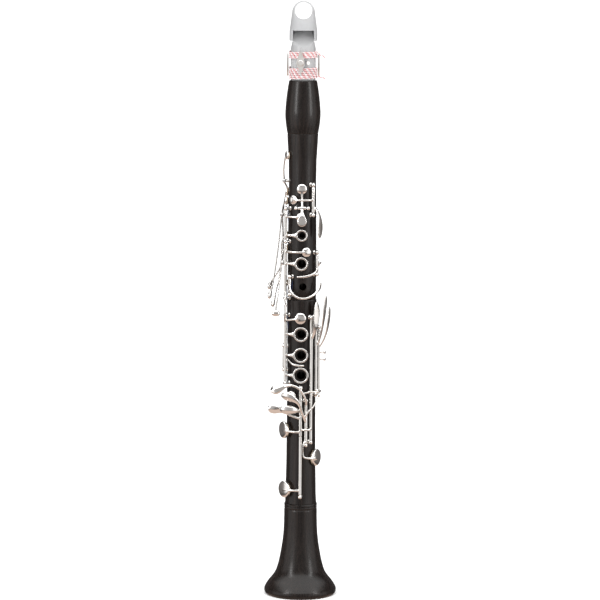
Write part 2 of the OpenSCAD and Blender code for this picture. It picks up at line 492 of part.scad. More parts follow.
// The E/B key is two tubes pinned to one steel; the F/C tube turns on the stretch between
module e_b_key() color(silver) difference() {
  e_b_solid();
  turned(long_low_h, big_open) pocket(-60, 108.7, big_cup_d, big_pad_t);
}
module e_b_solid() {
  rod(long_low_h, 100.6, 214.4);
  tube(long_low_h);
  tube(long_top_h);
  turned(long_low_h, big_open) cup(-60, 108.7, big_cup_d, big_pad_t);
  bar([P(-2, 18.5, 108.7, 3, 1.8), P(-19, 20.5, 108.7, 2.3, 1.5), P(-40, 21.6, 108.7, 2.3, 1.5),
    swung(P(-60, lid(108.7, big_pad_t), 108.7, 3.4, 1.5), long_low_h, big_open)]);
  bar([P(-2, 18.5, 189.5, 3, 1.8), [-4, -22, 190.8, 4.4, 2.4], [-8.6, -23.6, 191.4, 8, 3.8],
    [-14, -23.7, 191.8, 9.8, 4.2], [-18.6, -22.6, 192.2, 8, 3.6], [-21.2, -21.2, 192.4, 3.4, 1.6]]);
  bar([P(-2, 18.5, 207, 2.4, 1.5), P(8, 20.7, 208, 2, 1.2), P(15, 21.4, 208.6, 1.8, 1.1),
    P(21, 21.7, 209, 1.8, 1)]);
}
module f_c_key() color(silver) difference() {
  upright_key(f_c_h) f_c_arms();
  turned(f_c_h, big_open) pocket(-70, 169, big_cup_d, big_pad_t);
}
module f_c_arms() {
  turned(f_c_h, big_open) cup(-70, 169, big_cup_d, big_pad_t);
  bar([P(-2, 18.5, 168.6, 3, 1.8), P(-18, 20.9, 168.6, 2.3, 1.5), P(-45, 21.4, 168.8, 2.3, 1.5),
    swung(P(-70, lid(169, big_pad_t), 169, 3.4, 1.5), f_c_h, big_open)]);
  bar([P(-2, 18.5, 182, 2.8, 1.7), P(-12, 20.1, 183.2, 2.4, 1.5), P(-28, 20.9, 185, 2.4, 1.5),
    P(-45, 23.6, 188, 3, 1.9), P(-54, 27.4, 190.4, 8, 3.2), P(-59.5, 31.4, 191.4, 10.4, 4),
    P(-63, 35, 191.8, 8.4, 3.4), P(-64.2, 37, 191.8, 3.6, 1.6)]);
  bar([P(-2, 18.5, 171, 2.4, 1.5), P(6, 21, 171, 2, 1.2), P(14, 22.3, 171, 1.9, 1.1),
    P(22, 22.5, 171, 1.9, 1.1)]);
}
module fsharp_csharp_key() color(silver) upright_key(fsharp_h) {
  turned(fsharp_h, fsharp_open) cup(-36, 204, 11);
  bar([P(15, 18.5, 178, 2.8, 1.8), P(9, 20.9, 182.5, 2.6, 1.6), P(2, 23.1, 189.5, 2.6, 1.6),
    P(-5, 24.9, 198, 3.6, 2), [-7.5, -26, 203, 7, 3.4], [-12.3, -25.7, 205.4, 9.2, 4.2],
    [-17, -24.1, 206.4, 8, 3.6], [-19.8, -22.6, 206.8, 3.2, 1.6]]);
  bar([[-12.3, -24.2, 205.6, 2.4, 1.8], [-12, -21, 205, 2, 1.6],
    swung(P(-36, lid(204), 204, 2.6, 1.8), fsharp_h, fsharp_open)]);
  bar([P(9, 20.9, 182.5, 2, 1.2), P(14, 22.8, 187, 2, 1.2), P(20, 23.1, 190.5, 1.9, 1.1),
    P(26, 23, 192, 1.9, 1.1)]);
}
// The Ab/Eb key is pinned to its steel in the same way, with the F#/C# tube between
module ab_eb_key() color(silver) difference() {
  ab_eb_solid();
  pocket(62, 141, big_cup_d, big_pad_t);
}
module ab_eb_solid() {
  rod(ab_low_h, 153.4, 201.6);
  tube(ab_low_h);
  tube(ab_top_h);
  cup(62, 141, big_cup_d, big_pad_t);
  bar([P(15, 18.5, 160, 2.4, 1.7), P(8.5, 20.3, 157.6, 1.6, 1.3), P(6.3, 20.4, 153.5, 1.4, 1.2),
    P(6.3, 19.5, 147, 1.4, 1.2), P(10, 19.3, 142.6, 1.8, 1.4), P(29, 20.5, 141.4, 2.4, 1.5),
    P(46, 20.5, 141, 3, 1.5), P(62, lid(141, big_pad_t), 141, 3.4, 1.5)]);
  bar([P(15, 18.5, 195, 2.6, 1.7), P(13, 22, 200.4, 2.2, 1.4), P(6, 23.7, 207, 2.2, 1.5),
    P(-5, 25, 213.6, 2.5, 1.7), P(-22, 25.8, 216.6, 2.6, 1.8), P(-38, 26.8, 215.4, 4.4, 2.4),
    P(-48, 29.8, 213, 9, 3.8), P(-54.5, 33.4, 211.4, 10, 4), P(-58, 36.2, 210.4, 3.4, 1.6)], n = 2);
}
module lh_f_c_lever() color(silver) upright_key(lever_a_h) {
  bar([P(33, 17.9, 262, 2.8, 1.8), P(36, 20.3, 267, 3.4, 1.6), P(39, 22.2, 275, 6, 1.6),
    P(40.5, 23, 285, 8.2, 1.6), P(41, 23.1, 294, 7.2, 1.5), P(41, 22.8, 300, 2.8, 1)]);
  bar([P(33, 17.9, 171, 2.4, 1.6), P(27.5, 20.4, 171, 2, 1.1), P(18, 21, 171, 1.9, 0.9)]);
}
module lh_fsharp_csharp_lever() color(silver) upright_key(lever_b_h) {
  bar([P(54, 17.9, 254, 2.6, 1.7), P(58, 21, 261, 3, 1.6), P(59, 23.8, 272, 3.8, 1.6),
    P(57.5, 26.4, 284, 4.8, 1.6), P(56.5, 28, 295, 6, 1.7), P(56.5, 28.6, 302.5, 6, 1.7),
    P(56.5, 28.4, 306.5, 2.6, 1.1)]);
  bar([P(54, 17.9, 211.6, 2.4, 1.6), P(53.4, 20.8, 209.6, 2.2, 1.2), P(51, 21.5, 205, 2, 1.1),
    P(44, 21.5, 199, 1.9, 1.1),
    P(35, 21.3, 194, 1.9, 1), P(27.5, 21.2, 192, 1.9, 0.9)]);
}
peg_z = [248, 241];
module lh_e_b_lever() color(silver) upright_key(lever_c_h) {
  bar([P(74, 17.9, 252, 2.6, 1.7), P(75, 21.2, 257, 3, 1.6), P(73.5, 24.6, 264, 4.4, 1.6),
    P(71.5, 27.6, 274, 6.4, 1.7), P(70, 29.2, 284, 7.4, 1.7), P(69.5, 29.6, 291.5, 6, 1.5),
    P(69.5, 29.4, 294.5, 2.4, 1.1)]);
  bar([P(74, 17.9, 209, 2.4, 1.6), P(64, 21.9, 209.2, 2, 1.1), P(50, 23, 209, 1.9, 1.1),
    P(36, 22.3, 209.2, 1.9, 1), P(27, 20, 209.3, 1.9, 1), P(20, 18.9, 209.2, 1.8, 0.9)]);
  for (z = peg_z) out(76, 17.8, z) {
    cylinder(d = 1.6, h = 6, $fn = 20);
    translate([0, 0, 5]) cylinder(d = 3.4, h = 2.2, $fn = 24);
  }
}

// ---------- pads ----------
module register_pad() pad(-70, 446, 8.5);
module a_pad() pad(-2, 413, 10.3);
module gsharp_pad() pad(-33.6, 402, 9);
module side_pad_1() pad(-110, 409, 8.4);
module side_pad_2() pad(-95, 400, 8.4);
module side_pad_3() pad(-86, 366, 8.4);
module side_pad_4() pad(-81, 353, 8.4);
module index_pad() turned(index_h, ring_open) pad(-5, 385, 8.4);
module middle_pad() turned(middle_h, ring_open) pad(17, 350, 9.5);
module thumb_pad() turned(thumb_h, thumb_open) pad(-172, 356, 7);
module sliver_eb_pad() pad(100, 338, 8);
module csharp_gsharp_pad() pad(-78, 318, 7);
module lower_ring_pad() turned(l_left, ring_open) pad(-2.5, 283.4, 11.5);
module sliver_b_fsharp_pad() pad(-105, 242, 8);
module e_b_pad() turned(long_low_h, big_open) pad(-60, 108.7, big_cup_d, big_pad_t);
module f_c_pad() turned(f_c_h, big_open) pad(-70, 169, big_cup_d, big_pad_t);
module fsharp_csharp_pad() turned(fsharp_h, fsharp_open) pad(-36, 204, 11);
module ab_eb_pad() pad(62, 141, big_cup_d, big_pad_t);

// ---------- mouthpiece, reed, ligature and cap ----------
mouth_r = mouthpiece_d/2;
table_y = 9;
tip_z = 576;
// A slab cut across the body from an outline given as [y, z]
module slab(outline, width) rotate([90, 0, 90])
  linear_extrude(height = width, center = true) polygon(outline);
module mouthpiece() color(frosted) difference() {
  rotate_extrude($fn = 72) polygon([[0, barrel_top - small_tenon_len], [tenon_r, barrel_top - small_tenon_len],
    [tenon_r, barrel_top + 0.02], [mouth_r - 0.5, barrel_top + 0.02], [mouth_r, barrel_top + 0.6],
    [mouth_r, tip_z], [0, tip_z]]);
  slab([[-13, 552.5], [-6.4, 560.5], [0.6, 569], [7.4, tip_z - 0.2], [7.4, 590], [-20, 590], [-20, 552.5]], 40);
  slab([[table_y, 524], [20, 522], [20, 590], [table_y, 590]], 40);
  slab([[-1.5, 546], [6.4, 573.4], [12, 574], [12, 546]], 11);
  for (m = [0, 1]) mirror([m, 0, 0]) rotate([90, 0, 0]) linear_extrude(height = 60, center = true)
    polygon([[mouth_r + 0.1, 552], [9.8, 564], [7.2, tip_z + 0.1], [20, 580], [20, 552]]);
  translate([0, 0, 500]) cylinder(r = bore_r, h = 46, $fn = 72);
}
module mouthpiece_cork() color(cork_tan)
  cork_ring(barrel_top - small_tenon_len + 2, barrel_top - 2);
module reed() color([0.87, 0.76, 0.52]) intersection() {
  slab([[table_y + 0.03, 524.6], [12.2, 524.6], [12.2, 547], [9.3, 575.8], [table_y + 0.03, 575.8]], 12.8);
  translate([0, 0, 520]) cylinder(r = mouth_r - 0.05, h = 60, $fn = 72);
}

// String ligature: turns of cord round the mouthpiece, two side bars and a front plate
cord_d = 2;
cord_r = mouth_r + cord_d/2 + 0.06;
cord_pitch = 2.15;
module cord_turns(z, count) for (i = [0:count - 1]) translate([0, 0, z + i*cord_pitch])
  rotate_extrude($fn = 64) translate([cord_r, 0]) circle(d = cord_d, $fn = 20);
module cord_tail(z, drop) bar([[13.3, -3.2, z, 1.8, 1.8], [16.6, -5.4, z - drop*0.2, 1.8, 1.8],
  [20, -6.6, z - drop*0.6, 1.8, 1.8], [22.4, -7, z - drop, 1.7, 1.7]]);
module ligature_cord() color([0.90, 0.78, 0.78]) {
  cord_turns(522.7, 6);
  cord_turns(542.9, 4);
  cord_tail(547.4, 4.6);
  cord_tail(524.9, 2.6);
}
plate_phi = -9;
plate_r = cord_r + cord_d/2 + 0.1;
plate_t = 1.2;
module ligature_frame() color(silver) {
  for (phi = [-90, 90]) out(phi, cord_r + cord_d/2 + 0.1, 537.9) linear_extrude(height = 1.8)
    polygon([[-1.4, -12.8], [1.4, -12.8], [2.3, -11.6], [2.3, 11.6], [1.4, 12.8], [-1.4, 12.8],
      [-2.3, 11.6], [-2.3, -11.6]]);
  out(plate_phi, plate_r, 538) difference() {
    linear_extrude(height = plate_t) polygon([[0, -12], [2, -6.5], [4.2, -1], [3.1, 4],
      [1.4, 10], [0, 12], [-1.4, 10], [-3.6, 4], [-4.8, -0.5], [-2.2, -6.5]]);
    translate([0, 0, -1]) cylinder(d = 2.5, h = 4, $fn = 32);
  }
  out(19, cord_r + 0.4, 538) cylinder(d = 3.4, h = 1.8, $fn = 32);
}
module ligature_screw() color(silver) {
  out(plate_phi, plate_r - 1.2, 538) cylinder(d = 2.4, h = plate_t + 1.6, $fn = 32);
  out(plate_phi, plate_r + plate_t + 0.1, 538) rotate_extrude($fn = 48) polygon([[0, 0], [2.9, 0],
    [2.9, 1.3], [2.5, 1.7], [0, 1.7]]);
}

// Cap: an open shell that slides over the beak, with a finger ring on top
cap_foot = 559.8;
ring_z = 587.85;
module mouthpiece_cap() color(frosted) difference() {
  hull() {
    translate([0, 0, cap_foot]) cylinder(r = mouth_r + 1.5, h = 9.5, $fn = 36);
    translate([0, 2.5, ring_z]) rotate([90, 0, 0]) cylinder(d = 22.7, h = 7, center = true, $fn = 36);
  }
  hull() {
    translate([0, 0, cap_foot - 1]) cylinder(r = mouth_r + 0.3, h = 9.6, $fn = 36);
    translate([-8.4, 0.5, cap_foot]) cube([16.8, 9.4, tip_z + 0.7 - cap_foot]);
  }
  translate([0, 20, ring_z + 1.6]) rotate([90, 0, 0]) cylinder(d = ring_hole_d, h = 40, $fn = 64);
  translate([-10.4, -20, cap_foot - 1]) cube([20.8, 15, 11.2]);
}

// Each part is drawn on its own, or all together
bell();
lower_joint();
lower_joint_cork();
lower_posts();
lower_rods();
thumb_rest();
upper_joint();
upper_joint_corks();
upper_posts();
upper_rods();
register_vent();
thumb_bush();
barrel();
mouthpiece();
mouthpiece_cork();
reed();
ligature_frame();
ligature_cord();
ligature_screw();
mouthpiece_cap();
register_key();
a_key();
gsharp_key();
side_key_1();
side_key_2();
side_key_3();
side_key_4();
index_ring_key();
middle_ring_key();
thumb_ring_key();
sliver_eb_key();
csharp_gsharp_key();
lower_ring_key();
sliver_b_fsharp_key();
e_b_key();
f_c_key();
fsharp_csharp_key();
ab_eb_key();
lh_e_b_lever();
lh_f_c_lever();
lh_fsharp_csharp_lever();
register_pad();
a_pad();
gsharp_pad();
side_pad_1();
side_pad_2();
side_pad_3();
side_pad_4();
index_pad();
middle_pad();
thumb_pad();
sliver_eb_pad();
csharp_gsharp_pad();
lower_ring_pad();
sliver_b_fsharp_pad();
e_b_pad();
f_c_pad();
fsharp_csharp_pad();
ab_eb_pad();
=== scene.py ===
import bmesh
import bpy
import json
import math
from mathutils import Matrix, Vector


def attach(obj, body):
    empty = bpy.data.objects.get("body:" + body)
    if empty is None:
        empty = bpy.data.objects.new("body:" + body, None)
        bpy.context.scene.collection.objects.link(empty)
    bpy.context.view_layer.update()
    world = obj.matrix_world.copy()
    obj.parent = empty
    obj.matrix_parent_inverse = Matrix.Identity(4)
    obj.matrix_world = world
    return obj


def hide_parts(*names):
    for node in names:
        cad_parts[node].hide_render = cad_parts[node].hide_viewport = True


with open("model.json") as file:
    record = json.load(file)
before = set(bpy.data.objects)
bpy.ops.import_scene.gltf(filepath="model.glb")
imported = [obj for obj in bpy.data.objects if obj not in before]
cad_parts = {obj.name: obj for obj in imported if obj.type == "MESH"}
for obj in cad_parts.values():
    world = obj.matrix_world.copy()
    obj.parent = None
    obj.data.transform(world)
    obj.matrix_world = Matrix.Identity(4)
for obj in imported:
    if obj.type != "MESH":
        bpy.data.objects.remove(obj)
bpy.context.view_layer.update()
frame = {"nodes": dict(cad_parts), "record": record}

MM = 0.001
SLOT_OF = {s["node"]: s["material_slot"] for s in frame["record"]["subparts"]}
BODY_OF = {n: b for b, ns in frame["record"]["behaviour"]["bodies"].items() for n in ns}


# ---------- materials ----------
class Shader:
    """A node tree with one Principled shader, and short calls to add nodes to it."""

    def __init__(self, name):
        self.mat = bpy.data.materials.new(name)
        self.mat.use_nodes = True
        self.tree = self.mat.node_tree
        self.bsdf = next(n for n in self.tree.nodes if n.type == "BSDF_PRINCIPLED")
        self.where = self.tree.nodes.new("ShaderNodeTexCoord").outputs["Object"]

    def link(self, a, b):
        self.tree.links.new(a, b)

    def set(self, **values):
        for name, v in values.items():
            self.bsdf.inputs[name.replace("_", " ")].default_value = v

    def stretched(self, x, y, z):
        n = self.tree.nodes.new("ShaderNodeMapping")
        n.inputs["Scale"].default_value = (x, y, z)
        self.link(self.where, n.inputs["Vector"])
        return n.outputs["Vector"]

    def noise(self, scale, detail=4.0, rough=0.55, where=None, distortion=0.0):
        n = self.tree.nodes.new("ShaderNodeTexNoise")
        n.inputs["Scale"].default_value = scale
        n.inputs["Detail"].default_value = detail
        n.inputs["Roughness"].default_value = rough
        n.inputs["Distortion"].default_value = distortion
        self.link(where or self.where, n.inputs["Vector"])
        return n.outputs["Fac"]

    def cells(self, scale, where=None):
        n = self.tree.nodes.new("ShaderNodeTexVoronoi")
        n.inputs["Scale"].default_value = scale
        self.link(where or self.where, n.inputs["Vector"])
        return n.outputs["Distance"]

    def ramp(self, fac, *stops):
        n = self.tree.nodes.new("ShaderNodeValToRGB")
        e = n.color_ramp.elements
        while len(e) < len(stops):
            e.new(0.5)
        for spot, (at, colour) in zip(e, stops):
            spot.position = at
            spot.color = (*colour, 1.0)
        self.link(fac, n.inputs["Fac"])
        return n.outputs["Color"]

    def between(self, fac, low, high, a=0.3, b=0.7):
        n = self.tree.nodes.new("ShaderNodeMapRange")
        for name, v in (("From Min", a), ("From Max", b), ("To Min", low), ("To Max", high)):
            n.inputs[name].default_value = v
        self.link(fac, n.inputs["Value"])
        return n.outputs["Result"]

    def mixed(self, fac, a, b, kind="MIX"):
        n = self.tree.nodes.new("ShaderNodeMix")
        n.data_type = "RGBA"
        n.blend_type = kind
        for socket, v in ((n.inputs["Factor"], fac), (n.inputs["A"], a), (n.inputs["B"], b)):
            if isinstance(v, (int, float)):
                socket.default_value = v
            elif isinstance(v, tuple):
                socket.default_value = (*v, 1.0)
            else:
                self.link(v, socket)
        return n.outputs["Result"]

    def bump(self, height, strength, distance, after=None):
        n = self.tree.nodes.new("ShaderNodeBump")
        n.inputs["Strength"].default_value = strength
        n.inputs["Distance"].default_value = distance
        self.link(height, n.inputs["Height"])
        if after is not None:
            self.link(after, n.inputs["Normal"])
        return n.outputs["Normal"]

    def out(self, **links):
        for name, source in links.items():
            self.link(source, self.bsdf.inputs[name.replace("_", " ")])
        return self.mat


def black_wood():
    s = Shader("grenadilla")
    s.set(Specular_IOR_Level=0.30, Coat_Weight=0.10, Coat_Roughness=0.10, IOR=1.5)
    along = s.stretched(1.0, 1.0, 0.045)
    grain = s.noise(620, 8, 0.62, along, 0.4)
    pores = s.noise(2600, 3, 0.6, s.stretched(1.0, 1.0, 0.03))
    figure = s.noise(26, 3, 0.5, s.stretched(1.0, 1.0, 0.35))
    dark = s.ramp(grain, (0.30, (0.0042, 0.0029, 0.0025)), (0.52, (0.0098, 0.0066, 0.0053)),
                  (0.72, (0.0230, 0.0142, 0.0105)))
    colour = s.mixed(s.between(figure, 0.0, 0.65), dark, (0.0055, 0.0038, 0.0033))
    skin = s.bump(pores, 0.25, 0.00018)
    return s.out(Base_Color=colour, Roughness=s.between(grain, 0.22, 0.34),
                 Normal=s.bump(grain, 0.16, 0.00022, skin))


def silver_plate(name="silver_plate", smooth=0.07, rough=0.17):
    s = Shader(name)
    s.set(Metallic=1.0, Coat_Weight=0.0)
    wear = s.noise(70, 5, 0.6)
    rub = s.noise(900, 4, 0.6, s.stretched(1.0, 1.0, 0.25))
    colour = s.ramp(wear, (0.25, (0.80, 0.775, 0.735)), (0.5, (0.90, 0.885, 0.86)),
                    (0.75, (0.94, 0.93, 0.91)))
    return s.out(Base_Color=colour, Roughness=s.between(rub, smooth, rough),
                 Normal=s.bump(s.noise(260, 2, 0.5), 0.10, 0.00025))


def steel():
    s = Shader("drawn_steel")
    s.set(Metallic=1.0)
    drawn = s.noise(1500, 3, 0.5, s.stretched(1.0, 1.0, 0.02))
    return s.out(Base_Color=s.ramp(drawn, (0.3, (0.42, 0.42, 0.43)), (0.7, (0.62, 0.62, 0.63))),
                 Roughness=s.between(drawn, 0.20, 0.34))


def blued_steel():
    s = Shader("blued_spring_steel")
    s.set(Metallic=1.0)
    temper = s.noise(180, 2, 0.5)
    return s.out(Base_Color=s.ramp(temper, (0.3, (0.025, 0.045, 0.13)), (0.7, (0.06, 0.09, 0.21))),
                 Roughness=s.between(temper, 0.16, 0.28))


def cork():
    s = Shader("cork_sheet")
    s.set(Specular_IOR_Level=0.25)
    cells = s.cells(1500)
    flecks = s.noise(420, 5, 0.7)
    colour = s.mixed(s.between(flecks, 0.0, 1.0, 0.52, 0.66), (0.50, 0.31, 0.17), (0.17, 0.09, 0.045))
    return s.out(Base_Color=colour, Roughness=s.between(flecks, 0.72, 0.92),
                 Normal=s.bump(cells, 0.5, 0.0003))


def frosted():
    s = Shader("frosted_plastic")
    s.set(Subsurface_Weight=0.25, Subsurface_Scale=0.004, Coat_Weight=0.15, Coat_Roughness=0.3,
          IOR=1.49, Subsurface_Radius=(1.0, 1.0, 1.0))
    haze = s.noise(34, 4, 0.55)
    wear = s.noise(900, 3, 0.6)
    colour = s.ramp(haze, (0.3, (0.33, 0.333, 0.34)), (0.7, (0.405, 0.408, 0.412)))
    return s.out(Base_Color=colour, Roughness=s.between(wear, 0.28, 0.40),
                 Normal=s.bump(wear, 0.05, 0.0002))


def pad_leather():
    s = Shader("pad_leather")
    s.set(Specular_IOR_Level=0.35, Sheen_Weight=0.15)
    hair = s.cells(2600)
    tone = s.noise(300, 4, 0.6)
    return s.out(Base_Color=s.ramp(tone, (0.3, (0.52, 0.38, 0.24)), (0.7, (0.66, 0.52, 0.36))),
                 Roughness=s.between(tone, 0.55, 0.75), Normal=s.bump(hair, 0.3, 0.0002))


def cane():
    s = Shader("reed_cane")
    s.set(Specular_IOR_Level=0.35)
    fibre = s.noise(1100, 6, 0.6, s.stretched(1.0, 1.0, 0.03))
    spots = s.noise(240, 3, 0.7)
    pale = s.ramp(fibre, (0.3, (0.52, 0.37, 0.16)), (0.7, (0.74, 0.60, 0.33)))
    colour = s.mixed(s.between(spots, 0.0, 0.6, 0.62, 0.72), pale, (0.32, 0.19, 0.07))
    return s.out(Base_Color=colour, Roughness=s.between(fibre, 0.42, 0.6),
                 Normal=s.bump(fibre, 0.3, 0.0002))


def thread(name, low, high):
    s = Shader(name)
    s.set(Specular_IOR_Level=0.25, Sheen_Weight=0.4, Sheen_Roughness=0.4)
    fibres = s.noise(4200, 4, 0.7)
    return s.out(Base_Color=s.ramp(fibres, (0.3, low), (0.7, high)),
                 Roughness=s.between(fibres, 0.6, 0.85), Normal=s.bump(fibres, 0.5, 0.0002))


MATERIALS = {"black_wood": black_wood(), "silver_plate": silver_plate(), "steel": steel(),
             "cork": cork(), "frosted_plastic": frosted(), "pad_leather": pad_leather(),
             "cane": cane(),
             "ligature_cord": thread("white_thread", (0.70, 0.66, 0.66), (0.86, 0.83, 0.83))}
BRUSHED = silver_plate("brushed_plate", 0.30, 0.42)
BRUSHED_NODES = ("ligature_frame", "ligature_screw")

# ---------- the CAD nodes with their finishes ----------
for name, node in frame["nodes"].items():
    node.data.materials.clear()
    node.data.materials.append(BRUSHED if name in BRUSHED_NODES else MATERIALS[SLOT_OF[name]])


def copy_of(name, suffix):
    """A copy of a node's mesh, as a new piece that stands for the node."""
    piece = bpy.data.objects.new(name + suffix, frame["nodes"][name].data.copy())
    bpy.context.scene.collection.objects.link(piece)
    b = bmesh.new()
    b.from_mesh(piece.data)
    bmesh.ops.remove_doubles(b, verts=b.verts, dist=2e-6)
    b.to_mesh(piece.data)
    b.free()
    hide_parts(name)
    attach(piece, BODY_OF[name])
    return piece


def shade(piece, angle):
    """Curved faces show smooth, and edges sharper than the angle stay sharp."""
    b = bmesh.new()
    b.from_mesh(piece.data)
    for f in b.faces:
        f.smooth = True
    for e in b.edges:
        e.smooth = len(e.link_faces) == 2 and e.calc_face_angle(0) < math.radians(angle)
    b.to_mesh(piece.data)
    b.free()
    return piece


def applied(piece):
    """The piece with its modifiers made part of its mesh."""
    bpy.context.view_layer.update()
    posed = piece.evaluated_get(bpy.context.evaluated_depsgraph_get())
    mesh = bpy.data.meshes.new_from_object(posed)
    piece.modifiers.clear()
    piece.data = mesh
    return piece


def cast(name, voxel=0.3, rounds=5, keep=0.3):
    """A node as cast and polished metal: its hard edges and joins run into small fillets."""
    piece = copy_of(name, "_cast")
    m = piece.modifiers.new("remesh", "REMESH")
    m.mode, m.voxel_size, m.adaptivity = "VOXEL", voxel * MM, 0.0
    m = piece.modifiers.new("polish", "SMOOTH")
    m.factor, m.iterations = 0.5, rounds
    m = piece.modifiers.new("thin_out", "DECIMATE")
    m.ratio = keep
    return shade(applied(piece), 80)


def piece_of(name, body, material, shape):
    """A new piece from (vertices, faces) in millimetres, riding on a body."""
    verts, faces = shape
    mesh = bpy.data.meshes.new(name)
    mesh.from_pydata([(x * MM, y * MM, z * MM) for x, y, z in verts], [], faces)
    mesh.materials.append(material)
    piece = bpy.data.objects.new(name, mesh)
    bpy.context.scene.collection.objects.link(piece)
    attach(piece, body)
    return piece


def tube_along(path, radius, sides=8, taper=0.0):
    """Vertices and faces of a closed round tube along a path, its ends drawn in by taper."""
    path = [Vector(p) for p in path]
    verts, faces, last = [], [], len(path) - 1
    side = None
    for i, p in enumerate(path):
        along = (path[min(i + 1, last)] - path[max(i - 1, 0)]).normalized()
        side = (along.orthogonal() if side is None else side - side.dot(along) * along).normalized()
        up = along.cross(side)
        r = radius * (1 - taper * (i in (0, last)))
        verts += [p + r * (math.cos(a) * side + math.sin(a) * up)
                  for a in (2 * math.pi * k / sides for k in range(sides))]
    for i in range(last):
        for k in range(sides):
            a, b = i * sides + k, i * sides + (k + 1) % sides
            faces.append((a, b, b + sides, a + sides))
    faces += [tuple(reversed(range(sides))), tuple(last * sides + k for k in range(sides))]
    return verts, faces


def joined(parts):
    """Several (vertices, faces) shapes as one."""
    verts, faces = [], []
    for v, f in parts:
        faces += [tuple(i + len(verts) for i in face) for face in f]
        verts += v
    return verts, faces


def on_body(phi, r, z):
    """A point at an angle from the front, as in the CAD, in millimetres."""
    a = math.radians(phi)
    return Vector((r * math.sin(a), -r * math.cos(a), z))


# ---------- the ligature's cord: two strands twisted together ----------
MOUTH_R, CORD_D, CORD_PITCH = 12.4, 2.0, 2.15
CORD_R = MOUTH_R + CORD_D / 2 + 0.06
STRAND_R, STRAND_OFF, TWIST = 0.48, 0.44, 5.2   # strand radius, its offset, and mm for one twist
STEPS_A_TURN, STEPS_A_TAIL = 110, 60


def strands(centre_line):
    """Two strands round a path, half a twist apart."""
    made, run = [[], []], 0.0
    for i, p in enumerate(centre_line):
        ahead = centre_line[min(i + 1, len(centre_line) - 1)]
        along = (ahead - centre_line[max(i - 1, 0)]).normalized()
        side = Vector((p.x, p.y, 0)).normalized()
        up = along.cross(side).normalized()
        side = up.cross(along)
        run += (p - centre_line[i - 1]).length if i else 0.0
        for k in (0, 1):
            a = 2 * math.pi * run / TWIST + math.pi * k
            made[k].append(p + STRAND_OFF * (math.cos(a) * side + math.sin(a) * up))
    return made


def winding(z, turns):
    """The line of a cord wound round the mouthpiece, its ends tucked in."""
    steps = turns * STEPS_A_TURN
    return [on_body(-90 + 360 * turns * i / steps, CORD_R, z + (turns - 1) * CORD_PITCH * i / steps)
            for i in range(steps + 1)]


def tail(z, drop):
    """The line of one loose end of the cord."""
    ends = [Vector((13.0, -3.0, z)), Vector((16.6, -5.4, z - drop * 0.2)),
            Vector((20, -6.6, z - drop * 0.6)), Vector((22.2, -7, z - drop * 0.97))]
    line = []
    for i in range(STEPS_A_TAIL + 1):
        t = i / STEPS_A_TAIL
        a, b, c, d = ((1 - t) ** 3, 3 * t * (1 - t) ** 2, 3 * t * t * (1 - t), t ** 3)
        line.append(a * ends[0] + b * ends[1] + c * ends[2] + d * ends[3])
    return line


runs = [strands(line) for line in (winding(522.7, 6), winding(542.9, 4),
                                   tail(547.4, 4.6), tail(524.9, 2.6))]
WHITE = MATERIALS["ligature_cord"]
RED = thread("red_thread", (0.62, 0.27, 0.28), (0.78, 0.42, 0.42))
for k, (name, material) in enumerate((("cord_white_strand", WHITE), ("cord_red_strand", RED))):
    strand = piece_of(name, "mouthpiece", material,
                      joined([tube_along(run[k], STRAND_R, 6, 0.35) for run in runs]))
    for f in strand.data.polygons:
        f.use_smooth = True
    if k == 0:
        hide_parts("ligature_cord")

# ---------- needle springs and screw heads at the posts: [phi, r, z], way along the bore ----------
UPPER_POSTS = [(-60, 19.2, 393, -1), (-60, 19.2, 303, 1), (38, 17.5, 417, -1),
               (58, 17.6, 349, -1), (-43, 18, 307, 1), (-140, 18.6, 348, 1)]
LOWER_POSTS = [(-58.5, 19.1, 286, -1), (-78, 18, 254, -1), (33, 17.9, 284, -1),
               (54, 17.9, 284, -1), (74, 17.9, 273, -1)]
NEEDLE_R, HEAD_R = 0.32, 1.35
# A spring's route: turn from its post, drop below the rod's line, and way along the bore
NEEDLE_ROUTE = ((3, 2.0, -1.2), (3.5, 2.15, 5), (4.5, 2.2, 10), (6, 2.2, 14))
HEAD_ENDS = (2.1, 2.45, 2.6)      # the head's foot, edge and top, from the post's middle
BLUED = blued_steel()
for body, rows in (("upper_joint", UPPER_POSTS), ("lower_joint", LOWER_POSTS)):
    needles, heads = [], []
    for phi, r, z, way in rows:
        route = [on_body(phi + a, r - drop, z + run * way) for a, drop, run in NEEDLE_ROUTE]
        needles.append(tube_along(route, NEEDLE_R, 8, 0.5))
        axis = [on_body(phi, r, z - far * way) for far in HEAD_ENDS]
        heads.append(tube_along(axis, HEAD_R, 20, 0.18))
    needle = piece_of(body + "_springs", body, BLUED, joined(needles))
    head = piece_of(body + "_screw_heads", body, MATERIALS["steel"], joined(heads))
    for piece in (needle, head):
        shade(piece, 50)

# ---------- every other node's visible piece ----------
for name in frame["nodes"]:
    if name == "ligature_cord":
        continue
    metal = name.endswith(("_key", "_lever")) or "side_key" in name
    if metal:
        cast(name)
        continue
    skin = shade(copy_of(name, "_skin"), 40)

# ---------- floor, lights and camera ----------
FLOOR_REACH = 400
floor_mesh = bpy.data.meshes.new("floor")
corners = ((-1, -1), (1, -1), (1, 1), (-1, 1))
floor_mesh.from_pydata([(x * FLOOR_REACH, y * FLOOR_REACH, 0) for x, y in corners],
                       [], [(0, 1, 2, 3)])
floor = bpy.data.objects.new("floor", floor_mesh)
bpy.context.scene.collection.objects.link(floor)
paper = Shader("floor_paper")
tone = paper.noise(3, 3, 0.5)
floor_mesh.materials.append(paper.out(
    Base_Color=paper.ramp(tone, (0.3, (0.86, 0.86, 0.86)), (0.7, (0.88, 0.88, 0.88))),
    Roughness=paper.between(tone, 0.85, 0.95)))
floor.visible_glossy = False


